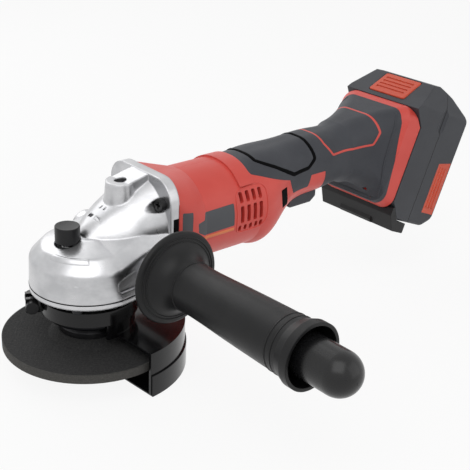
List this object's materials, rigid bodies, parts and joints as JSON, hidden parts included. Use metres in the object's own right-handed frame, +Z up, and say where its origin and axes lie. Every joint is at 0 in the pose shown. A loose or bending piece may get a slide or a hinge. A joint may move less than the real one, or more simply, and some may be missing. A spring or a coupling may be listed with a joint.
{
  "type": "cordless angle grinder",
  "caption": "Cordless angle grinder: slim handle with trigger and slide-on battery, side handle, geared spindle with disc, turning guard and lock button.",
  "frame": {"origin": "centre of the spindle's free lower end", "axes": "+Z up along the spindle, +X along the motor towards the battery, -Y towards the side handle"},
  "size_m": [0.3953, 0.2757, 0.1482],
  "materials": {
    "cast_aluminium": "satin casting",
    "steel": "machined",
    "black_steel": "gloss black sheet",
    "abrasive": "coarse bonded grit",
    "red_plastic": "satin red moulding",
    "red_panel": "satin red-orange moulding",
    "dark_rubber": "dark grey overmould",
    "black_plastic": "matte black moulding",
    "dark_plastic": "dark grey moulding",
    "copper": "bare metal",
    "carbon": "carbon",
    "magnet": "ferrite",
    "cell": "sleeved cell",
    "board": "circuit board"
  },
  "bodies": {
    "tool": {"gear_housing": "cast_aluminium", "bearing_plate": "cast_aluminium", "bearing_plate_screws": "steel", "gear_housing_screws": "black_steel", "spindle_bearing": "steel", "spindle_bush": "copper", "spindle_lock_spring": "steel", "fan_baffle": "black_plastic", "front_motor_bearing": "steel", "rear_motor_bearing": "steel", "motor_can": "steel", "field_magnets": "magnet", "brush_ring": "black_plastic", "carbon_brushes": "carbon", "housing_left": "red_plastic", "housing_right": "red_plastic", "housing_screws": "steel", "grip_overmould_left": "dark_rubber", "grip_overmould_right": "dark_rubber", "front_grip_pad": "dark_rubber", "rear_grip_pad": "dark_rubber", "label_plates": "black_plastic", "inlay_pads": "dark_plastic", "trigger_pin": "steel", "trigger_spring": "steel", "switch_module": "black_plastic", "control_board": "board", "battery_rail": "black_plastic", "tool_terminals": "copper", "handle_stud": "steel", "side_handle_core": "black_plastic", "side_handle_grip": "black_plastic"},
    "spindle_set": {"spindle": "steel", "bevel_gear": "steel", "inner_flange": "steel", "grinding_disc": "abrasive", "lock_nut": "steel"},
    "armature": {"pinion": "steel", "armature_shaft": "steel", "rotor_core": "steel", "armature_winding": "copper", "commutator": "copper", "fan": "black_plastic"},
    "guard_set": {"guard": "black_steel", "guard_cover": "black_steel", "guard_clamp_band": "black_steel", "guard_clamp_screw": "steel"},
    "spindle_lock": {"spindle_lock_button": "black_plastic", "spindle_lock_pin": "steel"},
    "trigger": {"trigger": "black_plastic"},
    "battery": {"battery_case": "dark_plastic", "battery_cover": "dark_plastic", "battery_cells": "cell", "cell_holder": "black_plastic", "battery_board": "board", "battery_contacts": "copper", "battery_screws": "steel", "battery_side_panels": "red_panel"},
    "battery_release": {"battery_release_button": "red_panel"}
  },
  "joints": [
    {"name": "spindle_spin", "type": "hinge", "parent": "tool", "child": "spindle_set", "pos_m": [0, 0, 0], "axis": [0, 0, 1], "continuous": true},
    {"name": "armature_spin", "type": "hinge", "parent": "tool", "child": "armature", "pos_m": [0, 0, 0.0815], "axis": [1, 0, 0], "continuous": true},
    {"name": "guard_turn", "type": "hinge", "parent": "tool", "child": "guard_set", "pos_m": [0, 0, 0], "axis": [0, 0, 1], "range_deg": [-60, 60]},
    {"name": "lock_press", "type": "slide", "parent": "tool", "child": "spindle_lock", "axis": [0, 0, -1], "range_m": [0, 0.0045], "stiffness_N_per_m": 900, "springref_m": -0.003, "deforming": ["spindle_lock_spring"]},
    {"name": "trigger_pull", "type": "hinge", "parent": "tool", "child": "trigger", "pos_m": [0.1695, 0, 0.081], "axis": [0, -1, 0], "range_deg": [0, 8], "stiffness_Nm_per_rad": 1.5, "springref_deg": -8.59, "deforming": ["trigger_spring"]},
    {"name": "battery_slide", "type": "slide", "parent": "tool", "child": "battery", "axis": [0.3827, 0, 0.9239], "range_m": [0, 0.07]},
    {"name": "release_press", "type": "slide", "parent": "battery", "child": "battery_release", "axis": [0.3918, 0, -0.92], "range_m": [0, 0.004], "stiffness_N_per_m": 900, "springref_m": -0.003}
  ],
  "couplings": [
    {"joint": "armature_spin", "follows": "spindle_spin", "ratio": 3}
  ]
}
